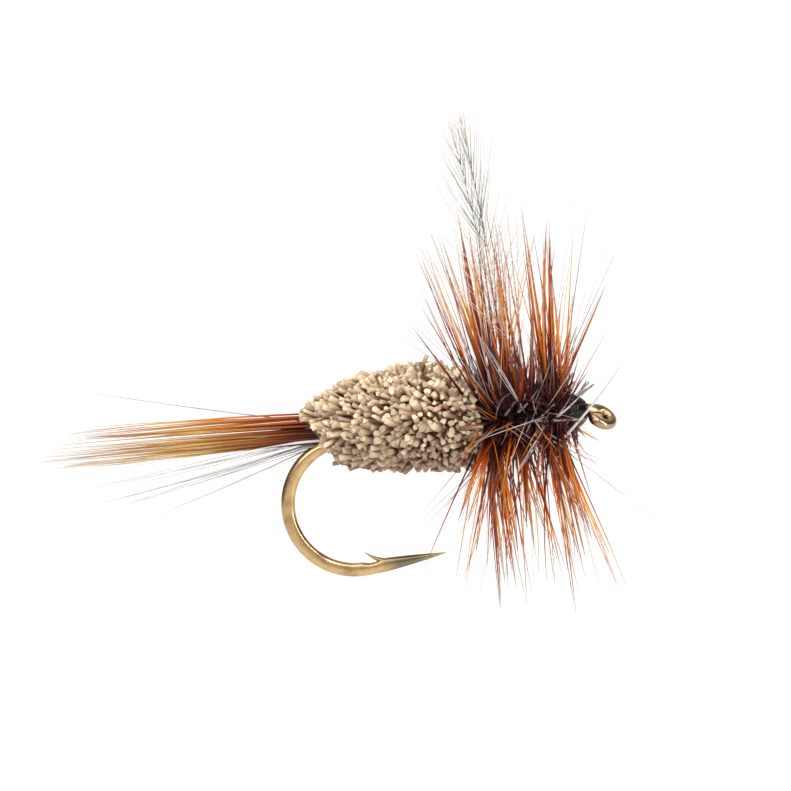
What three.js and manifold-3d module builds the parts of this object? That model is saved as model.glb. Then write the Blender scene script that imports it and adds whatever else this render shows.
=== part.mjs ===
// A hackled dry fly with a clipped deer-hair body, tied on a barbed down-eye hook of size 12.
// Millimetres. +X runs along the hook shank and out past the eye, +Z is up towards the wings, +Y is the
// fly's left. The origin is the centre of the hook's eye, where the leader is knotted.
// Everything but the hook is held on by thread, so nothing turns or slides: the layers lie a hair apart.
import * as THREE from "three";
import { mergeVertices } from "three/addons/utils/BufferGeometryUtils.js";
import Module from "manifold-3d";

const wasm = await Module();
wasm.setup();

// ---- Driving dimensions ----
const GAP = 0.02; // left between one bound layer and the next

const WIRE_R = 0.23; // round wire of the shank
const SHANK_Z = 0.32; // shank axis above the eye's centre
const BEND_X = -9.26; // where the straight shank runs out into the bend
const BEND_R = 2.36; // bend, at the wire's centre
const FORGED_R = 0.25; // half height of the wire where the bend is forged flat
const FORGED_HALF_THICKNESS = 0.19; // half the thickness between the two forged flats
const POINT_LENGTH = 2.95; // from the bottom of the bend to the tip
const POINT_RISE = THREE.MathUtils.degToRad(4.5);
const EYE_RING_R = 0.4; // eye ring, at the wire's centre
const EYE_WIRE_R = 0.18;
const EYE_DROOP = THREE.MathUtils.degToRad(36); // the ring leans down from the shank
const EYE_TWIST = THREE.MathUtils.degToRad(22); // and its right side is turned down

const FOUNDATION_R = 0.3; // thread laid along the bare shank
const FOUNDATION_X = [-8.92, -1.6];
const BINDING_R = 0.4; // thread turns that flare each clump of hair
const CLUMPS = 6;
const BODY_FRONT_X = -4.3;
const SECOND_CLUMP_X = -8.55; // front face of the rear clump, which sweeps back over the tail

const THORAX_R = 0.42; // black thread under the hackle
const THORAX_X = [-4.2, -1.36];
const STEM_R = 0.08; // hackle stems, wound side by side over the thorax
const STEM_TURN_R = THORAX_R + GAP + STEM_R;
const BARB_HUB_R = STEM_TURN_R + STEM_R + GAP;
const BARB_REACH = 6.5; // from the shank's axis to the tips
const BARBS_PER_TURN = 24;

const WING_X = -2.78; // where both wings stand on the shank
const WING_LENGTH = 11.5; // from the shank's axis to the tip
const WING_SPREAD = THREE.MathUtils.degToRad(19); // each wing leans this far out from upright
const LEFT_WING_SWEEP = THREE.MathUtils.degToRad(7); // and this far back
const RIGHT_WING_SWEEP = THREE.MathUtils.degToRad(1.5);

const HEAD_X = [-1.3, -0.5];

// ---- Colours and finishes ----
const finish = (color, roughness, metalness = 0) =>
  new THREE.MeshStandardMaterial({ color, roughness, metalness });
const BRONZE = finish(0x9a7a48, 0.28, 0.9);
const TAN_THREAD = finish(0xb8a78c, 0.7);
const BLACK_THREAD = finish(0x1d181b, 0.55);
const CLEAR_VARNISH = finish(0x2b2428, 0.12);
const DEER_HAIR = finish(0xc3ae93, 0.8);
const BROWN_FEATHER = finish(0x8f3f16, 0.45);
const GRIZZLY_FEATHER = finish(0xcfcac4, 0.5);
const GRIZZLY_QUILL = finish(0x6d6552, 0.45);

const fly = new THREE.Group();

function add(name, geometry, material) {
  const mesh = new THREE.Mesh(geometry, material);
  mesh.name = name;
  fly.add(mesh);
  return mesh;
}

// ---- Solids ----
// A closed geometry as a solid for cutting and joining, and back.
function solid(geometry) {
  const bare = geometry.clone();
  bare.deleteAttribute("normal");
  bare.deleteAttribute("uv");
  const merged = mergeVertices(bare, 1e-5);
  return new wasm.Manifold(
    new wasm.Mesh({
      numProp: 3,
      vertProperties: new Float32Array(merged.attributes.position.array),
      triVerts: new Uint32Array(merged.index.array),
    }),
  );
}

function geometryOf(made) {
  const { vertProperties, triVerts } = made.getMesh();
  return new THREE.BufferGeometry()
    .setAttribute("position", new THREE.BufferAttribute(vertProperties, 3))
    .setIndex(new THREE.BufferAttribute(triVerts, 1));
}

// A closed skin over a row of rings, with a fan over each end. Every ring has the same number of points,
// and they run clockwise as seen from the next ring.
function skin(rings) {
  const sides = rings[0].length;
  const points = rings.flat();
  const faces = [];
  for (let i = 0; i + 1 < rings.length; i++)
    for (let k = 0; k < sides; k++) {
      const a = i * sides + k;
      const b = i * sides + ((k + 1) % sides);
      faces.push(a, a + sides, b, b, a + sides, b + sides);
    }
  const centre = (ring) =>
    ring.reduce((sum, p) => sum.add(p), new THREE.Vector3()).divideScalar(sides);
  const first = points.push(centre(rings[0])) - 1;
  const last = points.push(centre(rings.at(-1))) - 1;
  const start = (rings.length - 1) * sides;
  for (let k = 0; k < sides; k++) {
    const next = (k + 1) % sides;
    faces.push(first, k, next, last, start + next, start + k);
  }
  return new THREE.BufferGeometry().setFromPoints(points).setIndex(faces);
}

// A ring of points round (x, y, z) in the plane across X, as an ellipse of half width ry and half height rz.
function ellipse(x, y, z, ry, rz, sides) {
  return Array.from({ length: sides }, (_, k) => {
    const a = (2 * Math.PI * k) / sides;
    return new THREE.Vector3(x, y + ry * Math.cos(a), z + rz * Math.sin(a));
  });
}

// A lathe round the shank's axis. The profile's points are [x, radius], its outside runs forward, and it
// closes on itself or starts and ends on the axis.
function turned(profile, segments = 20) {
  const points = profile.map(([x, r]) => new THREE.Vector2(r, x));
  return new THREE.LatheGeometry(points, segments)
    .rotateZ(-Math.PI / 2)
    .translate(0, 0, SHANK_Z);
}

// A plain sleeve round the shank.
function sleeve([from, to], inner, outer) {
  return turned([
    [from, inner],
    [from, outer],
    [to, outer],
    [to, inner],
    [from, inner],
  ]);
}

// A round rod along a curve.
function rod(curve, radius, steps, sides = 6) {
  const section = new THREE.Shape(
    new THREE.Path().absarc(0, 0, radius, 0, 2 * Math.PI).getSpacedPoints(sides).slice(0, -1),
  );
  return new THREE.ExtrudeGeometry(section, { steps, extrudePath: curve, curveSegments: 1 });
}

// ---- Hook ----
// One piece of wire: eye, shank, round bend forged flat on both sides, barb and point.
const neck = new THREE.Vector2(-EYE_RING_R * Math.cos(EYE_DROOP), EYE_RING_R * Math.sin(EYE_DROOP));
const bendEnd = 1.5 * Math.PI + POINT_RISE;
const bendCentreZ = SHANK_Z - BEND_R;
const POINT_BASE = new THREE.Vector2(
  BEND_X + BEND_R * Math.cos(bendEnd),
  bendCentreZ + BEND_R * Math.sin(bendEnd),
);
const POINT_TIP = new THREE.Vector2(
  POINT_BASE.x + POINT_LENGTH * Math.cos(POINT_RISE),
  POINT_BASE.y + POINT_LENGTH * Math.sin(POINT_RISE),
);

function hookWire(extra = 0) {
  const SHANK_START = -1.05;
  const GROUND_SHARE = 0.76; // of the point is ground to a taper
  const sides = 12;
  const bendSteps = 22;
  const parts = [
    // [curve in X and Z, steps, radius along it, how far it is forged flat]
    [
      new THREE.QuadraticBezierCurve(
        neck,
        new THREE.Vector2(-0.75, SHANK_Z),
        new THREE.Vector2(SHANK_START, SHANK_Z),
      ),
      4,
      () => WIRE_R,
      () => 0,
    ],
    [
      new THREE.LineCurve(
        new THREE.Vector2(SHANK_START, SHANK_Z),
        new THREE.Vector2(BEND_X, SHANK_Z),
      ),
      1,
      () => WIRE_R,
      () => 0,
    ],
    [
      new THREE.EllipseCurve(BEND_X, bendCentreZ, BEND_R, BEND_R, Math.PI / 2, bendEnd),
      bendSteps,
      (t) => THREE.MathUtils.lerp(WIRE_R, FORGED_R, Math.min(1, 3 * t)),
      (t) => Math.min(1, 3 * t),
    ],
    [
      new THREE.LineCurve(POINT_BASE, POINT_TIP),
      7,
      (t) => FORGED_R * Math.min(1, Math.pow((1 - t) / GROUND_SHARE, 0.75) + 0.02),
      (t) => 1 - t,
    ],
  ];
  const rings = [];
  parts.forEach(([curve, steps, radius, forged], part) => {
    for (let i = part ? 1 : 0; i <= steps; i++) {
      const t = i / steps;
      const p = curve.getPoint(t);
      const along = curve.getTangent(t);
      const r = radius(t) + extra;
      const flat = THREE.MathUtils.lerp(r, FORGED_HALF_THICKNESS + extra, forged(t));
      rings.push(
        Array.from({ length: sides }, (_, k) => {
          const a = (2 * Math.PI * k) / sides;
          const up = r * Math.cos(a);
          const across = THREE.MathUtils.clamp(r * Math.sin(a), -flat, flat);
          return new THREE.Vector3(p.x - up * along.y, across, p.y + up * along.x);
        }),
      );
    }
  });
  return solid(skin(rings));
}

function eyeRing(extra = 0) {
  return solid(
    new THREE.TorusGeometry(EYE_RING_R, EYE_WIRE_R + extra, 10, 20)
      .rotateX(EYE_TWIST)
      .rotateY(EYE_DROOP),
  );
}

// The barb is a sliver cut up from the inner side of the wire, with its free end towards the bend.
function barb() {
  const BARB_LENGTH = 0.55;
  const BARB_LIFT = 0.34;
  const BARB_WIDTH = 0.2;
  const rootX = BEND_X + 0.72;
  const rootZ = POINT_BASE.y + FORGED_R;
  const sliver = new THREE.Shape([
    new THREE.Vector2(rootX + 0.35, rootZ + 0.02),
    new THREE.Vector2(rootX - BARB_LENGTH, rootZ + BARB_LIFT),
    new THREE.Vector2(rootX - BARB_LENGTH + 0.12, rootZ + BARB_LIFT - 0.08),
    new THREE.Vector2(rootX - 0.2, rootZ - 0.08),
    new THREE.Vector2(rootX + 0.35, rootZ - 0.12),
  ]);
  return solid(
    new THREE.ExtrudeGeometry(sliver, { depth: BARB_WIDTH, bevelEnabled: false })
      .translate(0, 0, -BARB_WIDTH / 2)
      .rotateX(Math.PI / 2),
  );
}

add("hook", geometryOf(hookWire().add(eyeRing()).add(barb())), BRONZE);

// ---- Thread foundation ----
add("thread_foundation", sleeve(FOUNDATION_X, WIRE_R + GAP, FOUNDATION_R), TAN_THREAD);

// ---- Tail ----
// Two bundles of hackle barbs side by side on top of the shank. The brown one sits nearer and higher,
// and the grizzly one droops. Each row is [x, y, z, half width, half height] of the bundle.
const tailBundle = (rows) => skin(rows.map((row) => ellipse(...row, 8)));
add(
  "tail_brown_fibres",
  tailBundle([
    [-8.97, -0.16, 0.76, 0.15, 0.16],
    [-9.9, -0.16, 0.8, 0.17, 0.2],
    [-11.6, -0.16, 0.95, 0.3, 0.25],
    [-14.2, -0.12, 1.15, 0.55, 0.38],
    [-17.0, -0.05, 1.32, 0.75, 0.45],
    [-19.2, 0, 1.45, 0.6, 0.36],
    [-20.7, 0, 1.5, 0.08, 0.08],
  ]),
  BROWN_FEATHER,
);
add(
  "tail_grizzly_fibres",
  tailBundle([
    [-8.97, 0.19, 0.72, 0.13, 0.12],
    [-9.9, 0.19, 0.7, 0.14, 0.13],
    [-11.4, 0.25, 0.52, 0.17, 0.14],
    [-13.2, 0.32, 0.24, 0.32, 0.26],
    [-15.6, 0.35, -0.2, 0.42, 0.4],
    [-18.6, 0.35, -0.8, 0.08, 0.1],
  ]),
  GRIZZLY_FEATHER,
);

// The thread turns that bind both bundles down to the shank, an oval band.
const BAND_X = -9.4;
const BAND_WIDTH = 0.36;
const BAND_HALF_WIDTH = 0.37;
const BAND_HALF_HEIGHT = 0.46;
const BAND_WALL = 0.07;
const BAND_Z = 0.52;
const bandOutline = new THREE.Shape().absellipse(
  0,
  0,
  BAND_HALF_WIDTH + BAND_WALL,
  BAND_HALF_HEIGHT + BAND_WALL,
  0,
  2 * Math.PI,
);
bandOutline.holes.push(
  new THREE.Path().absellipse(0, 0, BAND_HALF_WIDTH, BAND_HALF_HEIGHT, 0, 2 * Math.PI),
);
add(
  "tail_tie_in_band",
  new THREE.ExtrudeGeometry(bandOutline, {
    depth: BAND_WIDTH,
    bevelEnabled: false,
    curveSegments: 16,
  })
    .rotateX(Math.PI / 2)
    .rotateZ(Math.PI / 2)
    .translate(BAND_X, 0, BAND_Z),
  BLACK_THREAD,
);

// ---- Deer-hair body ----
// Six clumps of hair spun on the shank, packed and clipped to a cigar that is flatter below. The outer
// shape is cut into one slice for each clump. Each outline is a height or half width against x.
const BACK_LINE = [
  [-10.7, 1.62],
  [-9.8, 2.12],
  [-8.6, 2.5],
  [-6.9, 2.76],
  [-5.4, 2.6],
  [-4.7, 2.4],
  [BODY_FRONT_X, 1.9],
];
const BELLY_LINE = [
  [-10.7, 1.42],
  [-10.35, 1.16],
  [-10.1, 0.68],
  [-9.92, 0.08],
  [-9.6, -0.42],
  [-8.6, -0.74],
  [-6.4, -1.02],
  [-4.9, -1.2],
  [BODY_FRONT_X, -0.85],
];
const HALF_WIDTH = [
  [-10.7, 0.32],
  [-10.2, 0.66],
  [-9.7, 1.08],
  [-8.8, 1.52],
  [-7.2, 1.9],
  [-5.6, 2.0],
  [-4.8, 1.85],
  [BODY_FRONT_X, 1.3],
];

// The height of an outline at x, on a smooth curve through its points.
function heightAt(outline, x) {
  const curve = new THREE.SplineCurve(outline.map(([px, py]) => new THREE.Vector2(px, py)));
  let low = 0;
  let high = 1;
  for (let i = 0; i < 24; i++) {
    const middle = (low + high) / 2;
    if (curve.getPoint(middle).x < x) low = middle;
    else high = middle;
  }
  return curve.getPoint((low + high) / 2).y;
}

function bodyShape() {
  const SLICES = 16;
  const from = BACK_LINE[0][0];
  return solid(
    skin(
      Array.from({ length: SLICES + 1 }, (_, i) => {
        // From front to back, so that the skin's faces point out.
        const x = THREE.MathUtils.lerp(BODY_FRONT_X, from, i / SLICES);
        const top = heightAt(BACK_LINE, x);
        const bottom = heightAt(BELLY_LINE, x);
        return ellipse(x, 0, (top + bottom) / 2, heightAt(HALF_WIDTH, x), (top - bottom) / 2, 20);
      }),
    ),
  );
}

// The room left in the body for the shank with its thread, and for the hook and the tail to come out.
function bodyHollow() {
  const bore = solid(
    turned(
      [
        [-9.2, 0],
        [-9.2, BINDING_R + GAP],
        [BODY_FRONT_X + 0.5, BINDING_R + GAP],
        [BODY_FRONT_X + 0.5, 0],
      ],
      16,
    ),
  );
  const mouth = solid(
    skin([
      ellipse(-8.9, 0, 0.5, 0.48, 0.6, 12),
      ellipse(-9.6, 0, 0.45, 0.5, 0.72, 12),
      ellipse(-11.0, 0, 0.3, 0.6, 1.1, 12),
    ]),
  );
  return bore.add(mouth);
}

const clumpEdges = [
  -11,
  ...Array.from({ length: CLUMPS }, (_, i) =>
    THREE.MathUtils.lerp(SECOND_CLUMP_X, BODY_FRONT_X, i / (CLUMPS - 1)),
  ),
];
const body = bodyShape().subtract(bodyHollow());
const SLAB_SIZE = 8;
for (let i = 0; i < CLUMPS; i++) {
  const from = clumpEdges[i] + GAP / 2;
  const to = clumpEdges[i + 1] - GAP / 2 + (i === CLUMPS - 1 ? 1 : 0);
  const slab = solid(
    new THREE.BoxGeometry(to - from, SLAB_SIZE, SLAB_SIZE).translate((from + to) / 2, 0, 0),
  );
  add(`deer_hair_clump_${i + 1}`, geometryOf(body.intersect(slab)), DEER_HAIR);

  // The turns of thread that hold this clump, in the middle of it.
  const BINDING_WIDTH = 0.28;
  const middle = i === 0 ? clumpEdges[1] - 0.2 : (clumpEdges[i] + clumpEdges[i + 1]) / 2;
  const span = [middle - BINDING_WIDTH / 2, middle + BINDING_WIDTH / 2];
  add(`clump_binding_${i + 1}`, sleeve(span, FOUNDATION_R + GAP, BINDING_R), TAN_THREAD);
}

// ---- Thorax and hackle ----
add("thorax_thread", sleeve(THORAX_X, FOUNDATION_R + GAP, THORAX_R), BLACK_THREAD);

// A hackle stem is wound forward over the thorax in open turns. It steps under the shank to pass the
// wings, and is wound on in front of them. The other feather's stem lies between its turns.
class StemCurve extends THREE.Curve {
  constructor(startX, pitch) {
    super();
    Object.assign(this, { startX, pitch });
  }
  getPoint(t, target = new THREE.Vector3()) {
    const TURNS_BEHIND = 2.25;
    const TURNS_UNDER = 0.5;
    const TURNS = 4.5;
    const WING_STEP = 0.8; // how far it moves on as it passes under the wings
    const turns = t * TURNS;
    const under = THREE.MathUtils.clamp((turns - TURNS_BEHIND) / TURNS_UNDER, 0, 1);
    const wound = turns - under * TURNS_UNDER;
    const x = this.startX + wound * this.pitch + under * WING_STEP;
    const a = 2 * Math.PI * turns;
    return target.set(x, STEM_TURN_R * Math.sin(a), SHANK_Z + STEM_TURN_R * Math.cos(a));
  }
}
const STEM_START_X = -3.98;
const STEM_PITCH = 0.38;
const STEM_STEPS = 72;
add(
  "brown_hackle_stem",
  rod(new StemCurve(STEM_START_X, STEM_PITCH), STEM_R, STEM_STEPS),
  BROWN_FEATHER,
);
add(
  "grizzly_hackle_stem",
  rod(new StemCurve(STEM_START_X + STEM_PITCH / 2, STEM_PITCH), STEM_R, STEM_STEPS),
  GRIZZLY_QUILL,
);

// The barbs of one turn stand out all round as a star. It leans back behind the wings and forward in
// front of them, and leaves out the two barbs that would pass through the wings.
function barbStar(x, lean, reach) {
  const THICKNESS = 0.07;
  const ROOT_R = BARB_HUB_R + 0.12;
  const UNEVEN = 0.05;
  const points = [];
  for (let k = 0; k < BARBS_PER_TURN; k++) {
    const turn = (2 * Math.PI * (k + 0.5)) / BARBS_PER_TURN;
    const fromTop = Math.abs(Math.atan2(Math.sin(turn), Math.cos(turn)));
    const inWing = Math.abs(fromTop - WING_SPREAD) < 0.1;
    const r = inWing ? ROOT_R : reach * (1 - UNEVEN + UNEVEN * Math.sin(5 * k));
    const valley = turn - Math.PI / BARBS_PER_TURN;
    points.push(new THREE.Vector2(ROOT_R * Math.cos(valley), ROOT_R * Math.sin(valley)));
    points.push(new THREE.Vector2(r * Math.cos(turn), r * Math.sin(turn)));
  }
  const star = new THREE.Shape(points);
  const bore = new THREE.Path().absarc(0, 0, BARB_HUB_R, 0, 2 * Math.PI);
  star.holes.push(new THREE.Path(bore.getSpacedPoints(BARBS_PER_TURN).slice(0, -1)));
  const made = new THREE.ExtrudeGeometry(star, { depth: THICKNESS, bevelEnabled: false });
  const at = made.getAttribute("position");
  for (let i = 0; i < at.count; i++) {
    const [up, across, along] = [at.getX(i), at.getY(i), at.getZ(i)];
    const out = Math.hypot(up, across) - BARB_HUB_R;
    at.setXYZ(i, x + along - THICKNESS / 2 + out * Math.tan(lean), -across, SHANK_Z + up);
  }
  return made;
}

const degrees = THREE.MathUtils.degToRad;
const BROWN_TURNS = [
  [-3.94, degrees(-12)],
  [-3.56, degrees(-8)],
  [-3.16, degrees(-3)],
  [-2.0, degrees(8)],
  [-1.56, degrees(17)],
];
const GRIZZLY_TURNS = [
  [-3.75, degrees(-10)],
  [-3.36, degrees(-5.5)],
  [-2.2, degrees(4)],
  [-1.78, degrees(12.5)],
];
BROWN_TURNS.forEach(([x, lean], i) =>
  add(`brown_hackle_barbs_${i + 1}`, barbStar(x, lean, BARB_REACH), BROWN_FEATHER),
);
GRIZZLY_TURNS.forEach(([x, lean], i) =>
  add(`grizzly_hackle_barbs_${i + 1}`, barbStar(x, lean, BARB_REACH + 0.3), GRIZZLY_FEATHER),
);

// ---- Wings ----
// Two grizzly hackle tips, upright and divided, with their flat sides facing out.
const QUILL_R = 0.05;
const QUILL_BASE_R = 0.5; // distance from the shank's axis, just over the thorax
for (const [side, sign, sweep] of [
  ["left", 1, LEFT_WING_SWEEP],
  ["right", -1, RIGHT_WING_SWEEP],
]) {
  const place = (geometry) =>
    geometry
      .rotateY(-sweep)
      .rotateX(-sign * WING_SPREAD)
      .translate(WING_X, 0, SHANK_Z);

  const quillLength = WING_LENGTH - QUILL_BASE_R;
  const quill = new THREE.CylinderGeometry(0.015, QUILL_R, quillLength, 8)
    .rotateX(Math.PI / 2)
    .translate(0, 0, QUILL_BASE_R + quillLength / 2);
  add(`${side}_wing_quill`, place(quill), GRIZZLY_QUILL);

  const VANE_THICKNESS = 0.06;
  const vane = new THREE.Shape()
    .moveTo(-0.1, 1.6)
    .bezierCurveTo(-1.15, 3.6, -1.25, 7.4, 0, WING_LENGTH)
    .bezierCurveTo(1.25, 7.4, 1.15, 3.6, 0.1, 1.6)
    .closePath();
  const vaneOffset = QUILL_R + GAP + VANE_THICKNESS / 2;
  const leaf = new THREE.ExtrudeGeometry(vane, {
    depth: VANE_THICKNESS,
    bevelEnabled: false,
    curveSegments: 10,
  })
    .translate(0, 0, -VANE_THICKNESS / 2)
    .rotateX(Math.PI / 2)
    .translate(0, sign * vaneOffset, 0);
  add(`${side}_wing_vane`, place(leaf), GRIZZLY_FEATHER);

  // Thread turns round the foot of the quill that hold the wing up. They taper a little upwards.
  const POST_Z = [0.62, 0.82];
  const POST_R = [QUILL_R + 0.08, QUILL_R + 0.07];
  const post = new THREE.LatheGeometry(
    [
      new THREE.Vector2(QUILL_R + GAP, POST_Z[0]),
      new THREE.Vector2(POST_R[0], POST_Z[0]),
      new THREE.Vector2(POST_R[1], POST_Z[1]),
      new THREE.Vector2(QUILL_R + GAP, POST_Z[1]),
      new THREE.Vector2(QUILL_R + GAP, POST_Z[0]),
    ],
    12,
  ).rotateX(Math.PI / 2);
  add(`${side}_wing_post_wraps`, place(post), BLACK_THREAD);
}

// ---- Head ----
// Tapered thread head that crowds the eye, the whip finish in front of it, and a coat of clear varnish.
const hookRoom = hookWire(GAP).add(eyeRing(GAP));
const HEAD_PROFILE = [
  [HEAD_X[0], 0.62],
  [-1.08, 0.66],
  [-0.86, 0.56],
  [-0.7, 0.44],
];
const headSolid = solid(turned([[HEAD_X[0], 0], ...HEAD_PROFILE, [HEAD_PROFILE.at(-1)[0], 0]]));
add("head_thread", geometryOf(headSolid.subtract(hookRoom)), BLACK_THREAD);

const WHIP_REAR = [-0.68, 0.43];
const WHIP_FRONT = [HEAD_X[1], 0.3];
const whip = solid(turned([[WHIP_REAR[0], 0], WHIP_REAR, WHIP_FRONT, [WHIP_FRONT[0], 0]]));
add("whip_finish_wraps", geometryOf(whip.subtract(hookRoom)), BLACK_THREAD);

const VARNISH = 0.04;
const coated = [...HEAD_PROFILE, [HEAD_X[1], 0.31]];
const outside = coated.map(([x, r]) => [x, r + GAP + VARNISH]);
const inside = coated.map(([x, r]) => [x, r + GAP]);
add(
  "head_cement",
  turned([...outside, ...inside.toReversed(), outside[0]]),
  CLEAR_VARNISH,
);

// The trimmed ends of the two hackle stems, which stand up from the head.
const stump = (from, to, radius) =>
  rod(new THREE.LineCurve3(new THREE.Vector3(...from), new THREE.Vector3(...to)), radius, 1, 8);
add("brown_stem_butt", stump([-0.74, -0.12, 0.92], [-0.26, -0.3, 1.28], 0.04), BROWN_FEATHER);
add("grizzly_stem_butt", stump([-0.7, 0.06, 0.91], [-0.1, 0.02, 1.14], 0.05), GRIZZLY_QUILL);

export default fly;
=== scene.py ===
"""A dry fly with a clipped deer-hair body, as it looks when it is newly tied."""

import math
import random

import bpy
from mathutils import Matrix, Vector


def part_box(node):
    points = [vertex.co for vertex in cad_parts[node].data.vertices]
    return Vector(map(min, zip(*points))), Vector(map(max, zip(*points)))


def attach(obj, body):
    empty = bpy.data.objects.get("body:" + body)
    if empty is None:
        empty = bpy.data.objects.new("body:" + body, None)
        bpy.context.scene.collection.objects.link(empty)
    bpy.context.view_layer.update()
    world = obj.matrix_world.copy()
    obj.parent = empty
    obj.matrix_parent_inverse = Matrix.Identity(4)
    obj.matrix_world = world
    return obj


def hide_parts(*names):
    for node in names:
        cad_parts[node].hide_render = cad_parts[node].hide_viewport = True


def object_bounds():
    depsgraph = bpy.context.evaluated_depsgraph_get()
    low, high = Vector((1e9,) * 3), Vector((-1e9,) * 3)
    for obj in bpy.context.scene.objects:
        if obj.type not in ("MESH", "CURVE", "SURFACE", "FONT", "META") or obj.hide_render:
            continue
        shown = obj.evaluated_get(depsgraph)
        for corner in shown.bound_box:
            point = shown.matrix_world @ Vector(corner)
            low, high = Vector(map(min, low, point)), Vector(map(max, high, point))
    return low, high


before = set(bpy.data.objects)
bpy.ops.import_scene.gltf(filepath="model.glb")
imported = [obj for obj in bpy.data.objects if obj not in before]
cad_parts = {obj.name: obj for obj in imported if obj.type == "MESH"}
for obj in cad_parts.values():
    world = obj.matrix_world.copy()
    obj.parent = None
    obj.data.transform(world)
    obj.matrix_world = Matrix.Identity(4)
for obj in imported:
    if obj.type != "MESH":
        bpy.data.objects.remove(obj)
cad_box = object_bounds()

# ---------------------------------------------------------------- camera
# A long lens, level with the fly and a little ahead of it, so that the near side, the top of the body
# and the ring of the eye all show. The fly is held with its nose a little up.
MM = 0.001
FIELD_WIDTH = 28.25 * MM
LENS = 100
SENSOR = 36
AIM = Vector((-7.14, 0, 1.71)) * MM
AZIMUTH = math.radians(8)
ELEVATION = math.radians(6)
ROLL = math.radians(8.3)

lens = bpy.data.cameras.new("camera")
lens.lens = LENS
lens.sensor_width = SENSOR
lens.clip_start = 0.001
lens.clip_end = 50
camera = bpy.data.objects.new("camera", lens)
bpy.context.collection.objects.link(camera)
toward_camera = Vector((
    math.sin(AZIMUTH) * math.cos(ELEVATION),
    -math.cos(AZIMUTH) * math.cos(ELEVATION),
    math.sin(ELEVATION),
))
camera.location = AIM + toward_camera * (FIELD_WIDTH * LENS / SENSOR)
level = toward_camera.to_track_quat("Z", "Y")
camera.rotation_euler = (level.to_matrix() @ Matrix.Rotation(-ROLL, 3, "Z")).to_euler()
bpy.context.scene.camera = camera


# ---------------------------------------------------------------- hook
# One piece of bronzed steel wire. It is curled into a ring for the eye, runs straight as the shank, and
# is bent round and forged flat at the sides. A barb is cut up from the wire behind the ground point.
def put(tree, kind, inputs=None, **settings):
    """Adds a node to a tree, with its inputs linked or set by name or number."""
    made = tree.nodes.new(kind)
    for key, value in settings.items():
        setattr(made, key, value)
    for key, value in (inputs or {}).items():
        if isinstance(value, bpy.types.Node):
            value = value.outputs[0]
        if isinstance(value, bpy.types.NodeSocket):
            tree.links.new(value, made.inputs[key])
        else:
            made.inputs[key].default_value = value
    return made


def shade(name, roughness, metallic=0.0, specular=0.5, **sockets):
    """A new material with one Principled shader; returns the material, its tree and the shader."""
    made = bpy.data.materials.new(name)
    made.use_nodes = True
    shader = made.node_tree.nodes["Principled BSDF"]
    shader.inputs["Roughness"].default_value = roughness
    shader.inputs["Metallic"].default_value = metallic
    shader.inputs["Specular IOR Level"].default_value = specular
    for key, value in sockets.items():
        shader.inputs[key.replace("_", " ")].default_value = value
    return made, made.node_tree, shader


def ramp(tree, factor, stops):
    """A colour ramp through (place, (r, g, b)) stops."""
    made = put(tree, "ShaderNodeValToRGB", {"Fac": factor})
    elements = made.color_ramp.elements
    while len(elements) < len(stops):
        elements.new(0.5)
    for element, (place, colour) in zip(elements, stops):
        element.position = place
        element.color = (*colour, 1)
    return made


def blotches(tree, scale, detail=3.0, stretch=(1, 1, 1)):
    """Noise on the object's own coordinates, in blotches of about 1 / scale metres."""
    place = put(tree, "ShaderNodeTexCoord")
    stretched = put(tree, "ShaderNodeMapping", {"Vector": place.outputs["Object"], "Scale": stretch})
    return put(tree, "ShaderNodeTexNoise", {"Vector": stretched, "Scale": scale, "Detail": detail})


def bump(tree, shader, height, distance, strength=0.5):
    """Raises a shader's surface by a height between 0 and 1."""
    made = put(tree, "ShaderNodeBump", {"Height": height, "Distance": distance, "Strength": strength})
    tree.links.new(made.outputs[0], shader.inputs["Normal"])


def new_piece(name, points, faces, material, **attributes):
    """A plain mesh piece from its points and faces, with numbers on its points for the material."""
    mesh = bpy.data.meshes.new(name)
    mesh.from_pydata(points, [], faces)
    for key, values in attributes.items():
        mesh.attributes.new(key, "FLOAT", "POINT").data.foreach_set("value", values)
    mesh.shade_smooth()
    mesh.materials.append(material)
    piece = bpy.data.objects.new(name, mesh)
    bpy.context.collection.objects.link(piece)
    return piece


def sweep(path, section, sides):
    """Skins a row of rings along a path; section(place, angle) gives each point's (up, across).

    place runs from 0 to 1 by length. Returns the points, the faces and the place of every point.
    """
    lengths = [0.0]
    for a, b in zip(path, path[1:]):
        lengths.append(lengths[-1] + (b - a).length)
    across = Vector((0, 1, 0))
    points, places = [], []
    for i, centre in enumerate(path):
        tangent = (path[min(i + 1, len(path) - 1)] - path[max(i - 1, 0)]).normalized()
        across = (across - tangent * across.dot(tangent)).normalized()
        up = tangent.cross(across)
        place = lengths[i] / lengths[-1]
        for k in range(sides):
            high, wide = section(place, 2 * math.pi * k / sides)
            points.append(centre + up * high + across * wide)
            places.append(place)
    faces = []
    for i in range(len(path) - 1):
        for k in range(sides):
            a, b = i * sides + k, i * sides + (k + 1) % sides
            faces.append((a, b, b + sides, a + sides))
    last = (len(path) - 1) * sides
    faces.append(tuple(reversed(range(sides))))
    faces.append(tuple(range(last, last + sides)))
    return points, faces, places


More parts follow.
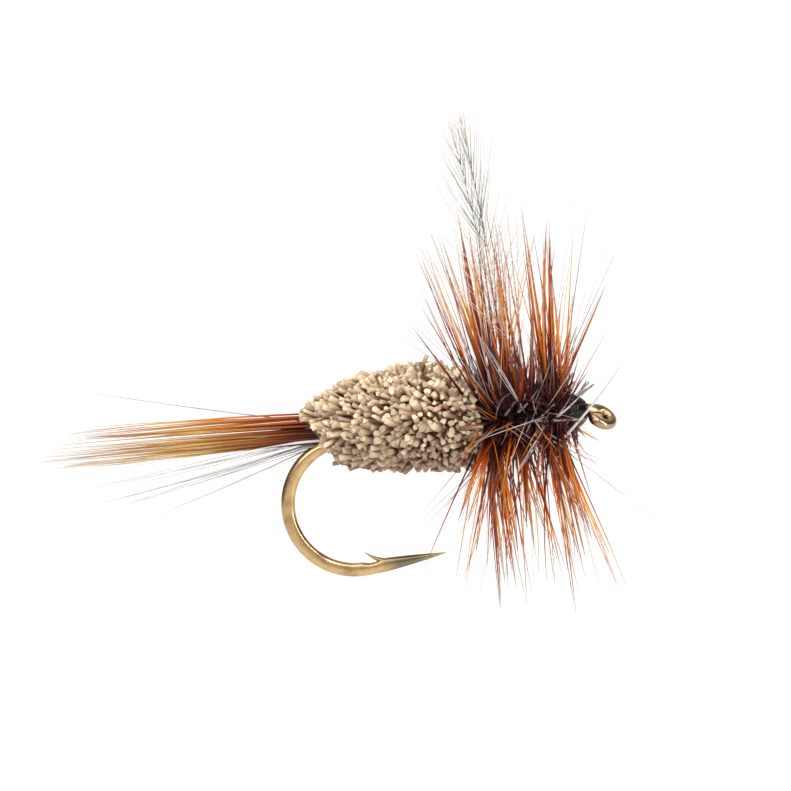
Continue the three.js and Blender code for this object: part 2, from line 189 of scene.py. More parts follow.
hook_low, hook_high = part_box("hook")
WIRE_R = 0.23 * MM
FORGED_R = 0.25 * MM
FORGED_HALF_THICKNESS = 0.19 * MM
EYE_RING_R = 0.4 * MM
EYE_WIRE_R = 0.18 * MM
EYE_WIRE_LENGTH = 3.3 * MM  # the wire thins over this length, up to its end
EYE_DROOP = math.radians(36)
EYE_TWIST = math.radians(22)
RING_START, RING_END = math.radians(128), math.radians(-160)  # from the front of the ring
NECK_X = -1.15 * MM  # where the wire leaves the straight shank for the ring
NECK_EASE, RING_EASE = 0.42 * MM, 0.22 * MM
POINT_RISE = math.radians(4.5)
POINT_LENGTH = 2.95 * MM
POINT_STEPS, BEND_STEPS, SHANK_STEPS, NECK_STEPS, RING_STEPS = 24, 55, 16, 12, 36
SHANK_Z = hook_high.z - WIRE_R
BEND_R = (SHANK_Z - hook_low.z - FORGED_R) / 2
BEND_X = hook_low.x + FORGED_R + BEND_R
bend_centre = Vector((BEND_X, 0, SHANK_Z - BEND_R))


def hook_path():
    """The middle of the wire, from the point round the bend and along the shank into the eye."""
    end = math.pi * 1.5 + POINT_RISE
    base = bend_centre + BEND_R * Vector((math.cos(end), 0, math.sin(end)))
    rise = Vector((math.cos(POINT_RISE), 0, math.sin(POINT_RISE)))
    path = [base + rise * POINT_LENGTH * (1 - i / POINT_STEPS) for i in range(POINT_STEPS)]
    for i in range(BEND_STEPS + 1):
        angle = end + (math.pi / 2 - end) * i / BEND_STEPS
        path.append(bend_centre + BEND_R * Vector((math.cos(angle), 0, math.sin(angle))))
    neck = Vector((NECK_X, 0, SHANK_Z))
    path += [path[-1].lerp(neck, i / SHANK_STEPS) for i in range(1, SHANK_STEPS + 1)]
    forward = Vector((math.cos(EYE_DROOP), 0, -math.sin(EYE_DROOP)))
    side = Vector((
        math.sin(EYE_TWIST) * math.sin(EYE_DROOP),
        math.cos(EYE_TWIST),
        math.sin(EYE_TWIST) * math.cos(EYE_DROOP),
    ))
    ring_start = EYE_RING_R * (forward * math.cos(RING_START) + side * math.sin(RING_START))
    ring_heading = forward * math.sin(RING_START) - side * math.cos(RING_START)
    lead_in = neck + Vector((NECK_EASE, 0, 0))
    lead_out = ring_start - ring_heading * RING_EASE
    for i in range(1, NECK_STEPS):
        t = i / NECK_STEPS
        path.append(
            neck * (1 - t) ** 3 + lead_in * 3 * t * (1 - t) ** 2
            + lead_out * 3 * t**2 * (1 - t) + ring_start * t**3
        )
    for i in range(RING_STEPS + 1):
        angle = RING_START + (RING_END - RING_START) * i / RING_STEPS
        path.append(EYE_RING_R * (forward * math.cos(angle) + side * math.sin(angle)))
    return path


wire_path = hook_path()
wire_length = sum((b - a).length for a, b in zip(wire_path, wire_path[1:]))
BARB_ROOT = 2.4 * MM  # from the tip of the point, as is the next length
GROUND_LENGTH = 2.25 * MM
point_share = POINT_LENGTH / wire_length
bend_share = BEND_R * (math.pi + POINT_RISE) / wire_length
eye_share = 1 - EYE_WIRE_LENGTH / wire_length


def smooth(low, high, value):
    """0 below low, 1 above high, and an even curve between."""
    t = min(1.0, max(0.0, (value - low) / (high - low)))
    return t * t * (3 - 2 * t)


def wire_section(place, angle):
    """The wire's cross-section: ground to a point, forged through the bend, round along the shank."""
    ground = min(1.0, 0.02 + (place * wire_length / GROUND_LENGTH) ** 0.75)
    forged = smooth(0, 0.5 * point_share, place)
    forged *= 1 - smooth(point_share + 0.75 * bend_share, point_share + bend_share, place)
    radius = WIRE_R + (FORGED_R - WIRE_R) * forged
    radius += (EYE_WIRE_R - WIRE_R) * smooth(eye_share, 1, place)
    radius *= ground * (1 - 0.5 * smooth(0.985, 1, place))
    half_thickness = radius + (min(radius, FORGED_HALF_THICKNESS) - radius) * forged
    up, side = math.cos(angle), math.sin(angle)
    across = half_thickness * math.copysign(abs(side) ** (1 - 0.25 * forged), side)
    cut = place * wire_length - BARB_ROOT
    behind_barb = smooth(0, 0.1 * MM, cut) * (1 - smooth(0.4 * MM, 0.7 * MM, cut))
    if up < 0:  # the wire's inner side, where the barb is cut up
        up *= 1 - 0.3 * behind_barb
    return radius * up, across


BRONZE, OLIVE, TARNISH = (0.52, 0.35, 0.17), (0.16, 0.15, 0.085), (0.19, 0.095, 0.045)
DARKER_BRONZE = (0.36, 0.26, 0.16)
bronze, tree, shader = shade("bronzed_steel", 0.2, metallic=1.0)
place = put(tree, "ShaderNodeAttribute", attribute_name="place")
# The wire's colour turns darker from the end of the shank into the ring of the eye.
along_wire = ramp(tree, place.outputs["Fac"], [
    (0.0, BRONZE), (0.045, OLIVE), (0.08, OLIVE), (0.11, BRONZE), (0.9, BRONZE), (0.97, DARKER_BRONZE),
])
patches = ramp(tree, blotches(tree, 2600), [(0.42, (0, 0, 0)), (0.72, (0.6, 0.6, 0.6))])
worn = put(
    tree, "ShaderNodeMix", {"Factor": patches, 6: along_wire, 7: (*TARNISH, 1)}, data_type="RGBA"
)
tree.links.new(worn.outputs[2], shader.inputs["Base Color"])
draw_lines = blotches(tree, 14000, stretch=(0.25, 1, 1))
bump(tree, shader, draw_lines, 0.004 * MM, 0.35)

points, faces, places = sweep(wire_path, wire_section, 28)
hook = new_piece("hook_wire", points, faces, bronze, place=places)
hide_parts("hook")
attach(hook, "root")

# The barb starts inside the wire and lifts away from it in a hollow curve.
BARB_LENGTH, BARB_LIFT = 0.85 * MM, 0.36 * MM
BARB_STEPS = 14
barb_start = wire_path[0].lerp(wire_path[POINT_STEPS], BARB_ROOT / POINT_LENGTH)
barb_start += Vector((0.3, 0, 0.14)) * MM
barb_path = [
    barb_start + Vector((-BARB_LENGTH * t, 0, 0.06 * MM * t + BARB_LIFT * t * t))
    for t in (i / BARB_STEPS for i in range(BARB_STEPS + 1))
]


def barb_section(place, angle):
    """A thin sliver, wide at its root and sharp at its free end."""
    keen = (1 - 0.93 * place**1.6) * MM
    return 0.1 * keen * math.cos(angle), 0.13 * keen * math.sin(angle)


points, faces, places = sweep(barb_path, barb_section, 14)
barb = new_piece("hook_barb", points, faces, bronze, place=[0.1] * len(places))
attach(barb, "root")


# ---------------------------------------------------------------- thread on the shank
# Fine waxed thread is wound in touching turns along the bare shank, so that the feathers and the hair
# have something to grip. Each later binding is a few more turns of the same thread.
def new_tree(name, **inputs):
    """A geometry tree with named inputs; returns the tree and its input node."""
    tree = bpy.data.node_groups.new(name, "GeometryNodeTree")
    tree.interface.new_socket("Geometry", in_out="INPUT", socket_type="NodeSocketGeometry")
    tree.interface.new_socket("Geometry", in_out="OUTPUT", socket_type="NodeSocketGeometry")
    for key, value in inputs.items():
        kinds = {float: "NodeSocketFloat", int: "NodeSocketInt"}
        kind = kinds.get(type(value), "NodeSocketMaterial")
        socket = tree.interface.new_socket(key, in_out="INPUT", socket_type=kind)
        if value is not None:
            socket.default_value = value
    return tree, put(tree, "NodeGroupInput").outputs


def math_node(tree, operation, *values):
    """One sum on numbers."""
    return put(tree, "ShaderNodeMath", dict(enumerate(values)), operation=operation).outputs[0]


def vector_node(tree, operation, *values, out=0, **named):
    """One sum on vectors."""
    inputs = dict(enumerate(values)) | named
    return put(tree, "ShaderNodeVectorMath", inputs, operation=operation).outputs[out]


def close_tree(tree, geometry, material):
    """Ends a tree: smooth, real geometry in one material."""
    smoothed = put(tree, "GeometryNodeSetShadeSmooth", {"Geometry": geometry})
    real = put(tree, "GeometryNodeRealizeInstances", {"Geometry": smoothed})
    painted = put(tree, "GeometryNodeSetMaterial", {"Geometry": real, "Material": material})
    put(tree, "NodeGroupOutput", {0: painted})


def run_tree(tree, mesh, name, **sizes):
    """Runs a tree on a mesh and leaves its result as a plain piece with no modifier."""
    piece = bpy.data.objects.new(name, mesh)
    bpy.context.collection.objects.link(piece)
    modifier = piece.modifiers.new("tree", "NODES")
    modifier.node_group = tree
    for item in tree.interface.items_tree:
        if item.in_out == "INPUT" and item.name in sizes:
            modifier[item.identifier] = sizes[item.name]
    depsgraph = bpy.context.evaluated_depsgraph_get()
    result = bpy.data.meshes.new_from_object(
        piece.evaluated_get(depsgraph), preserve_all_data_layers=True, depsgraph=depsgraph
    )
    piece.modifiers.clear()
    piece.data = result
    result.name = name
    return piece


def wrapping_tree():
    """Thread wound round the X axis from Start to End, as one helix whose radius may swell between."""
    tree, size = new_tree(
        "wound_thread", Start=0.0, End=1.0, First_radius=1.0, Last_radius=1.0, Swell=0.0, Oval=1.0,
        Thread_radius=1.0, Turns=10.0, Steps=240, Sides=6, Material=None,
    )
    row = put(tree, "GeometryNodeMeshLine", {"Count": size["Steps"]}, mode="OFFSET")
    index = put(tree, "GeometryNodeInputIndex")
    share = math_node(tree, "DIVIDE", index, math_node(tree, "SUBTRACT", size["Steps"], 1))
    angle = math_node(tree, "MULTIPLY", math_node(tree, "MULTIPLY", share, size["Turns"]), math.tau)

    def between(low, high):
        span = math_node(tree, "SUBTRACT", high, low)
        return math_node(tree, "MULTIPLY_ADD", share, span, low)

    arch = math_node(tree, "SINE", math_node(tree, "MULTIPLY", share, math.pi))
    swell = math_node(tree, "MULTIPLY", arch, size["Swell"])
    radius = math_node(tree, "ADD", between(size["First_radius"], size["Last_radius"]), swell)
    height = math_node(tree, "MULTIPLY", math_node(tree, "COSINE", angle), size["Oval"])
    spot = put(tree, "ShaderNodeCombineXYZ", {
        "X": between(size["Start"], size["End"]),
        "Y": math_node(tree, "MULTIPLY", math_node(tree, "SINE", angle), radius),
        "Z": math_node(tree, "MULTIPLY", height, radius),
    })
    wound = put(tree, "GeometryNodeSetPosition", {"Geometry": row, "Position": spot})
    curve = put(tree, "GeometryNodeMeshToCurve", {"Mesh": wound})
    section = put(tree, "GeometryNodeCurvePrimitiveCircle",
                  {"Resolution": size["Sides"], "Radius": size["Thread_radius"]})
    tube = put(tree, "GeometryNodeCurveToMesh",
               {"Curve": curve, "Profile Curve": section, "Fill Caps": True})
    close_tree(tree, tube, size["Material"])
    return tree


wrapping = wrapping_tree()
ON_SHANK = Matrix.Translation((0, 0, SHANK_Z))
TURN_PITCH = 1.8  # in radii of the thread: a little under 2, as the turns press into one another


def wind(name, material, span, radii, thread_r, place=ON_SHANK, swell=0.0, oval=1.0, steps_per_turn=20):
    """Winds touching turns of thread whose outside follows radii, and sets them in place."""
    turns = abs(span[1] - span[0] - 2 * thread_r) / (TURN_PITCH * thread_r)
    sign = math.copysign(thread_r, span[1] - span[0])
    empty = bpy.data.meshes.new(name)
    piece = run_tree(
        wrapping, empty, name, Start=span[0] + sign, End=span[1] - sign,
        First_radius=radii[0] - thread_r, Last_radius=radii[1] - thread_r, Swell=swell, Oval=oval,
        Thread_radius=thread_r, Turns=turns, Steps=int(turns * steps_per_turn) + 2, Material=material,
    )
    piece.data.transform(place)
    return piece


def thread(name, colour, dark, roughness):
    """Waxed thread: fine lengthwise strands with a little colour change from turn to turn."""
    made, tree, shader = shade(name, roughness, specular=0.4)
    strands = ramp(tree, blotches(tree, 9000), [(0.35, dark), (0.7, colour)])
    tree.links.new(strands.outputs[0], shader.inputs["Base Color"])
    bump(tree, shader, blotches(tree, 30000), 0.004 * MM)
    return made


def x_span(node):
    """A CAD node's rear and front ends."""
    low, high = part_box(node)
    return low.x, high.x


def outer_radius(node):
    """Half of a CAD node's width."""
    low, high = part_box(node)
    return (high.y - low.y) / 2


THREAD_R = 0.032 * MM
tan_thread = thread("tan_thread", (0.52, 0.43, 0.3), (0.36, 0.28, 0.18), 0.6)
black_thread = thread("black_thread", (0.03, 0.022, 0.026), (0.012, 0.009, 0.011), 0.38)

foundation_r = outer_radius("thread_foundation")
foundation = wind(
    "foundation_turns", tan_thread, x_span("thread_foundation"), (foundation_r, foundation_r),
    THREAD_R, steps_per_turn=14,
)
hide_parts("thread_foundation")
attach(foundation, "root")


# ---------------------------------------------------------------- tail
# A bunch of stiff barbs from the side of a cock's neck feather, brown with a few barred grey ones. They
# are laid on top of the shank over the bend, and spread a little towards their tips.
def growing_tree():
    """Grows one tapered fibre from every point, by the numbers stored on the points.

    heading and reach give the straight line to its tip, bow the sideways curve of its tip, and girth its
    radius. Blunt is the share of that radius left at the tip, and Taper how late it thins.
    """
    tree, size = new_tree("grown_fibres", Steps=9, Sides=5, Blunt=0.1, Taper=0.8, Material=None)

    def stored(name, kind="FLOAT"):
        return put(tree, "GeometryNodeInputNamedAttribute", {"Name": name}, data_type=kind)

    rooted = put(
        tree, "GeometryNodeStoreNamedAttribute",
        {"Geometry": size["Geometry"], "Name": "root", "Value": put(tree, "GeometryNodeInputPosition")},
        data_type="FLOAT_VECTOR",
    )
    line = put(tree, "GeometryNodeResampleCurve", {
        "Curve": put(tree, "GeometryNodeCurvePrimitiveLine"), "Count": size["Steps"],
    })
    copies = put(tree, "GeometryNodeInstanceOnPoints", {"Points": rooted, "Instance": line})
    real = put(tree, "GeometryNodeRealizeInstances", {"Geometry": copies})
    counted = put(tree, "GeometryNodeStoreNamedAttribute", {
        "Geometry": real, "Name": "along", "Value": put(tree, "GeometryNodeSplineParameter"),
    })
    along = stored("along")
    straight = vector_node(tree, "SCALE", stored("heading", "FLOAT_VECTOR"),
                           Scale=math_node(tree, "MULTIPLY", stored("reach"), along))
    curved = vector_node(tree, "SCALE", stored("bow", "FLOAT_VECTOR"),
                         Scale=math_node(tree, "MULTIPLY", along, along))
    spot = vector_node(tree, "ADD", stored("root", "FLOAT_VECTOR"),
                       vector_node(tree, "ADD", straight, curved))
    laid = put(tree, "GeometryNodeSetPosition", {"Geometry": counted, "Position": spot})
    thinning = math_node(tree, "POWER", math_node(tree, "SUBTRACT", 1, along), size["Taper"])
    left = math_node(tree, "MULTIPLY_ADD", thinning, math_node(tree, "SUBTRACT", 1, size["Blunt"]),
                     size["Blunt"])
    section = put(tree, "GeometryNodeCurvePrimitiveCircle", {"Resolution": size["Sides"], "Radius": 1})
    tubes = put(tree, "GeometryNodeCurveToMesh", {
        "Curve": laid, "Profile Curve": section, "Fill Caps": True,
        "Scale": math_node(tree, "MULTIPLY", stored("girth"), left),
    })
    for name in ("root", "heading", "reach", "bow", "girth"):  # only the colours need what is left
        tubes = put(tree, "GeometryNodeRemoveAttribute", {"Geometry": tubes, "Name": name})
    close_tree(tree, tubes, size["Material"])
    return tree


growing = growing_tree()


def fibre(root, tip, girth, tint, bow=(0, 0, 0), dark=0.0):
    """One fibre's numbers. It ends at its tip, and bow is how far it curves aside on the way."""
    line = Vector(tip) - Vector(root) - Vector(bow)
    return {
        "root": Vector(root), "heading": line.normalized(), "reach": line.length,
        "bow": Vector(bow), "girth": girth, "tint": tint, "dark": dark,
    }


def grow(name, fibres, material, **sizes):
    """Grows a list of fibres into one piece."""
    mesh = bpy.data.meshes.new(name)
    mesh.from_pydata([f["root"] for f in fibres], [], [])
    for key in ("heading", "bow"):
        flat = [number for f in fibres for number in f[key]]
        mesh.attributes.new(key, "FLOAT_VECTOR", "POINT").data.foreach_set("vector", flat)
    for key in ("reach", "girth", "tint", "dark"):
        values = [f[key] for f in fibres]
        mesh.attributes.new(key, "FLOAT", "POINT").data.foreach_set("value", values)
    return run_tree(growing, mesh, name, Material=material, **sizes)


def feather(name, pale, rich, deep, roughness=0.4, clear=0.3):
    """Barb colour along its length. tint runs it from the rich to the pale stops, and dark to deep.

    clear is the share of the light that goes through, so a barb glows with a bright ground behind it.
    """
    made, tree, shader = shade(name, roughness, specular=0.25, Transmission_Weight=clear, IOR=1.2)
    along, tint, dark = (
        put(tree, "ShaderNodeAttribute", attribute_name=key).outputs["Fac"]
        for key in ("along", "tint", "dark")
    )
    mixed = put(tree, "ShaderNodeMix",
                {"Factor": tint, 6: ramp(tree, along, rich), 7: ramp(tree, along, pale)},
                data_type="RGBA")
    deepened = put(tree, "ShaderNodeMix", {"Factor": dark, 6: mixed.outputs[2], 7: (*deep, 1)},
                   data_type="RGBA")
    tree.links.new(deepened.outputs[2], shader.inputs["Base Color"])
    bump(tree, shader, blotches(tree, 22000, stretch=(1, 1, 0.4)), 0.003 * MM, 0.4)
    return made


MAROON = (0.06, 0.026, 0.032)
# Pale barbs: partly their own lighter colour, partly a painted golden glow of light shining through.
brown_barbs = feather(
    "brown_hackle",
    rich=[(0.0, MAROON), (0.2, (0.09, 0.018, 0.02)), (0.4, (0.26, 0.03, 0.014)),
          (0.7, (0.5, 0.08, 0.02)), (0.9, (0.34, 0.12, 0.06)), (1.0, (0.46, 0.36, 0.33))],
    pale=[(0.0, MAROON), (0.17, (0.24, 0.036, 0.016)), (0.36, (0.95, 0.27, 0.02)),
          (0.6, (1.0, 0.54, 0.09)), (0.85, (0.74, 0.32, 0.1)), (1.0, (0.5, 0.4, 0.35))],
    deep=(0.2, 0.11, 0.125), roughness=0.25, clear=0.62,
)
SMOKE, CHALK = (0.3, 0.265, 0.26), (0.62, 0.57, 0.54)
grizzly_barbs = feather(
    "grizzly_hackle",
    rich=[(0.0, SMOKE), (0.12, CHALK), (0.24, SMOKE), (0.38, CHALK), (0.52, SMOKE), (0.66, CHALK),
          (0.8, SMOKE), (1.0, CHALK)],
    pale=[(0.0, (0.6, 0.54, 0.52)), (0.3, (0.8, 0.76, 0.74)), (1.0, CHALK)],
    deep=(0.12, 0.1, 0.1), clear=0.15,
)
tail_barbs = feather(
    "brown_tail_hackle",
    rich=[(0.0, MAROON), (0.24, (0.12, 0.035, 0.022)), (0.38, (0.36, 0.16, 0.045)),
          (0.62, (0.76, 0.5, 0.17)), (0.86, (0.6, 0.37, 0.17)), (1.0, (0.48, 0.38, 0.33))],
    pale=[(0.0, (0.13, 0.026, 0.014)), (0.22, (0.42, 0.08, 0.02)), (0.42, (0.62, 0.2, 0.04)),
          (0.65, (0.76, 0.43, 0.12)), (0.86, (0.58, 0.27, 0.12)), (1.0, (0.48, 0.38, 0.33))],
    deep=(0.06, 0.025, 0.03),
)

rng = random.Random(12)
brown_low, brown_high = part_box("tail_brown_fibres")
TAIL_LOCKS = 7
BARBS_PER_LOCK = 10
TAIL_ROOT_Z, TAIL_TIP_Z = 0.82 * MM, 1.33 * MM
tail = []
for i in range(TAIL_LOCKS):
    high = -1 + 2 * i / (TAIL_LOCKS - 1)  # from the underside of the bunch to its top
    lock_tip = Vector((
        brown_low.x + rng.uniform(-0.4, 2.2) * MM,
        rng.gauss(0, 0.35) * MM,
        TAIL_TIP_Z + (0.52 * high + rng.gauss(0, 0.07)) * MM,
    ))
    sway = Vector((0, rng.gauss(0, 0.2), rng.gauss(0, 0.16))) * MM
    for _ in range(BARBS_PER_LOCK):
        root = Vector((
            brown_high.x, rng.gauss(-0.1, 0.17) * MM, TAIL_ROOT_Z + (0.38 * high + rng.gauss(0, 0.07)) * MM,
        ))
        spread = Vector((0, rng.gauss(0, 0.13), rng.gauss(0, 0.12))) * MM
        tip = (lock_tip + spread).lerp(root, 0.36 * rng.random() ** 1.9)
        bow = sway + Vector((0, rng.gauss(0, 0.08), rng.gauss(0, 0.06))) * MM
        # tint rises with height: the underside is painted darker near the roots as shade, the top paler as
        # light
        tail.append(fibre(root, tip, rng.uniform(0.027, 0.046) * MM,
                          min(1, max(0, 0.5 + 0.55 * high + rng.gauss(0, 0.25))), bow))
brown_tail = grow("brown_tail_barbs", tail, tail_barbs, Steps=12, Blunt=0.12, Taper=0.75)
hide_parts("tail_brown_fibres")
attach(brown_tail, "root")

grey_low, grey_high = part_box("tail_grizzly_fibres")
GREY_BARBS = 26
grey_tail = []
for _ in range(GREY_BARBS):
    root = Vector((grey_high.x, rng.gauss(0.1, 0.14) * MM, rng.gauss(0.6, 0.08) * MM))
    tip = Vector((
        grey_low.x + rng.uniform(-1.2, 2.4) * MM, rng.gauss(0.2, 0.4) * MM, rng.uniform(-1.5, 1.1) * MM,
    ))
    bow = Vector((0, rng.gauss(0, 0.2), rng.gauss(0.1, 0.15))) * MM
    grey_tail.append(fibre(root, tip, rng.uniform(0.011, 0.019) * MM, rng.random(), bow))
# Two barbs hang clear of the bunch and one stands up from it, and two pale butts lie along its underside.
for tip in ((-19.0, -0.2, -0.85), (-16.8, 0.1, -1.6), (-18.5, 0.1, 3.33)):
    above = tip[2] > 0
    root = Vector((-9.6, 0.0, 1.0 if above else 0.5)) * MM
    grey_tail.append(fibre(root, Vector(tip) * MM, 0.024 * MM, 0.0, (0, 0, 0.3 * MM), dark=0.55))
for side, length in ((-0.36, 3.1), (-0.22, 2.4)):
    root = Vector((-9.3, side, 0.45)) * MM
    tip = root + Vector((-length, side, 0.06)) * MM
    grey_tail.append(fibre(root, tip, 0.062 * MM, 1.0, (0, 0, -0.2 * MM), dark=0.15))
grey_tail_piece = grow("grizzly_tail_barbs", grey_tail, grizzly_barbs, Steps=12, Blunt=0.12)
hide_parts("tail_grizzly_fibres")
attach(grey_tail_piece, "root")

band_low, band_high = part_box("tail_tie_in_band")
band_half_width = (band_high.y - band_low.y) / 2
band_half_height = (band_high.z - band_low.z) / 2
band = wind(
    "tail_band_turns", black_thread, (band_low.x, band_high.x), (band_half_width, band_half_width),
    THREAD_R, place=Matrix.Translation((0, 0, (band_low.z + band_high.z) / 2)),
    oval=(band_half_height - THREAD_R) / (band_half_width - THREAD_R), steps_per_turn=28,
)
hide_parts("tail_tie_in_band")
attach(band, "root")


# ---------------------------------------------------------------- deer-hair body
# Clumps of hollow deer hair, each flared round the shank by a few tight turns of thread and packed
# against the one behind it. The whole is clipped to shape, so the surface is the hairs' cut ends.
BARE_R = 0.62 * MM  # no hair ends nearer the shank's middle than this
CROWDING = 2.2  # hairs tried for each square of the spacing; those too close to another are dropped
CORE_DEPTH = 0.22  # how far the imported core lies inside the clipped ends, as a share of the radius
LUMP_SCALE = 7500.0


def clump_tree():
    """Stands clipped hairs all over the outside of a packed clump, over a dark core of packed hair."""
    tree, size = new_tree(
        "clipped_hair", Axis_height=0.0, Binding_x=0.0, Open_end=0.0, Spacing=1.0, Hair_radius=1.0,
        Hair_length=1.0, Unevenness=0.1, Raggedness=0.1, Seed=1, Hair=None, Core=None,
    )
    whole = put(tree, "GeometryNodeMergeByDistance", {"Geometry": size["Geometry"], "Distance": 1e-6})
    position = put(tree, "GeometryNodeInputPosition")
    parts = put(tree, "ShaderNodeSeparateXYZ", {0: position})
    normal = put(tree, "GeometryNodeInputNormal")
    axis_point = put(tree, "ShaderNodeCombineXYZ", {"X": parts.outputs["X"], "Z": size["Axis_height"]})
    outward = vector_node(tree, "SUBTRACT", position, axis_point)
    faces_out = vector_node(tree, "DOT_PRODUCT", normal, vector_node(tree, "NORMALIZE", outward), out=1)
    facing_end = math_node(
        tree, "MULTIPLY", put(tree, "ShaderNodeSeparateXYZ", {0: normal}).outputs["X"], size["Open_end"]
    )

    # Hairs end on the clump's outside and on its open end, evenly spaced.
    far_out = math_node(tree, "GREATER_THAN", vector_node(tree, "LENGTH", outward, out=1), BARE_R)
    outside = math_node(tree, "GREATER_THAN", math_node(tree, "MAXIMUM", faces_out, facing_end), 0.25)
    hairy = math_node(tree, "MULTIPLY", far_out, outside)
    room = math_node(tree, "MULTIPLY", size["Spacing"], size["Spacing"])
    crowding = math_node(tree, "DIVIDE", CROWDING, room)
    ends = put(tree, "GeometryNodeDistributePointsOnFaces", {
        "Mesh": whole, "Selection": hairy, "Distance Min": size["Spacing"], "Density Max": crowding,
        "Seed": size["Seed"],
    }, distribute_method="POISSON")

    def chance(low, high, step):
        seed = math_node(tree, "ADD", size["Seed"], step)
        return put(tree, "FunctionNodeRandomValue", {2: low, 3: high, "Seed": seed}).outputs[1]

    # Each hair points away from its binding, give or take, and stands a little proud or short. Those on
    # the back are paler than those on the belly, partly in the hair's own colour and partly as painted
    # light from above.
    binding = put(tree, "ShaderNodeCombineXYZ", {"X": size["Binding_x"], "Z": size["Axis_height"]})
    jitter = put(tree, "FunctionNodeRandomValue", {0: (-1, -1, -1), 1: (1, 1, 1), "Seed": 7},
                 data_type="FLOAT_VECTOR")
    straight = vector_node(tree, "NORMALIZE", vector_node(tree, "SUBTRACT", position, binding))
    heading = vector_node(tree, "NORMALIZE", vector_node(
        tree, "ADD", straight, vector_node(tree, "SCALE", jitter, Scale=0.4)))
    above = put(tree, "ShaderNodeSeparateXYZ", {0: vector_node(tree, "NORMALIZE", outward)}).outputs["Z"]
    # paleness grows as a hair's end faces up: partly its own colour, partly painted light from above
    paleness = math_node(tree, "MULTIPLY_ADD", above, 0.55, 0.33)
    depth = math_node(tree, "MINIMUM", size["Hair_length"], math_node(
        tree, "MULTIPLY", vector_node(tree, "DISTANCE", position, binding, out=1), 0.75))
    proud = math_node(tree, "MULTIPLY", size["Unevenness"], chance(-1.0, 1.0, 3))
    values = {
        "heading": (heading, "FLOAT_VECTOR"),
        "bow": (vector_node(tree, "SCALE", jitter, Scale=0.09 * MM), "FLOAT_VECTOR"),
        "reach": (math_node(tree, "ADD", depth, proud), "FLOAT"),
        "girth": (math_node(tree, "MULTIPLY", size["Hair_radius"], chance(0.6, 1.4, 1)), "FLOAT"),
        "tint": (math_node(tree, "ADD", paleness, chance(-0.5, 0.5, 2)), "FLOAT"),
        "dark": (0.0, "FLOAT"),
    }
    marked = ends.outputs["Points"]
    for key, (value, kind) in values.items():
        marked = put(tree, "GeometryNodeStoreNamedAttribute",
                     {"Geometry": marked, "Name": key, "Value": value}, data_type=kind)

    # The hairs grow outwards from a sunken root, and the scissors leave them a little crushed.
    sunk = put(tree, "GeometryNodeSetPosition", {
        "Geometry": marked,
        "Offset": vector_node(tree, "SCALE", heading, Scale=math_node(tree, "MULTIPLY", depth, -1)),
    })
    hairs = put(tree, "GeometryNodeGroup", {
        "Geometry": sunk, "Steps": 6, "Sides": 7, "Blunt": 0.94, "Taper": 1.0, "Material": size["Hair"],
    }, node_tree=growing)
    lumps = put(tree, "ShaderNodeTexNoise", {"Vector": position, "Scale": LUMP_SCALE, "Detail": 1.0})
    lump = vector_node(tree, "SUBTRACT", lumps.outputs["Color"], (0.5, 0.5, 0.5))
    ragged = put(tree, "GeometryNodeSetPosition", {
        "Geometry": hairs, "Offset": vector_node(tree, "SCALE", lump, Scale=size["Raggedness"]),
    })

    # A dark core of packed hair closes the gaps between them.
    packed = put(tree, "GeometryNodeSetPosition", {
        "Geometry": whole, "Offset": vector_node(tree, "SCALE", outward, Scale=-CORE_DEPTH),
    })
    core = put(tree, "GeometryNodeSetMaterial", {"Geometry": packed, "Material": size["Core"]})
    joined = put(tree, "GeometryNodeJoinGeometry")
    tree.links.new(core.outputs[0], joined.inputs[0])
    tree.links.new(ragged.outputs[0], joined.inputs[0])
    real = put(tree, "GeometryNodeRealizeInstances", {"Geometry": joined})
    put(tree, "NodeGroupOutput", {0: real})
    return tree


deer_hair, tree, shader = shade("deer_hair", 0.62, specular=0.3)
along, tint = (put(tree, "ShaderNodeAttribute", attribute_name=key).outputs["Fac"]
               for key in ("along", "tint"))
taupe = ramp(tree, along, [(0.0, (0.08, 0.04, 0.022)), (0.6, (0.15, 0.088, 0.055)),
                           (0.88, (0.235, 0.145, 0.095)), (1.0, (0.36, 0.25, 0.17))])
buff = ramp(tree, along, [(0.0, (0.14, 0.066, 0.03)), (0.6, (0.3, 0.17, 0.085)),
                          (0.88, (0.64, 0.47, 0.295)), (1.0, (0.78, 0.65, 0.455))])
mixed = put(tree, "ShaderNodeMix", {"Factor": tint, 6: taupe, 7: buff}, data_type="RGBA")
tree.links.new(mixed.outputs[2], shader.inputs["Base Color"])
bump(tree, shader, blotches(tree, 16000), 0.008 * MM, 0.5)

packed_hair, tree, shader = shade("packed_hair", 0.8, specular=0.2)
depths = ramp(tree, blotches(tree, 5000), [(0.35, (0.07, 0.03, 0.015)), (0.7, (0.26, 0.14, 0.075))])
tree.links.new(depths.outputs[0], shader.inputs["Base Color"])
bump(tree, shader, blotches(tree, 9000), 0.03 * MM)

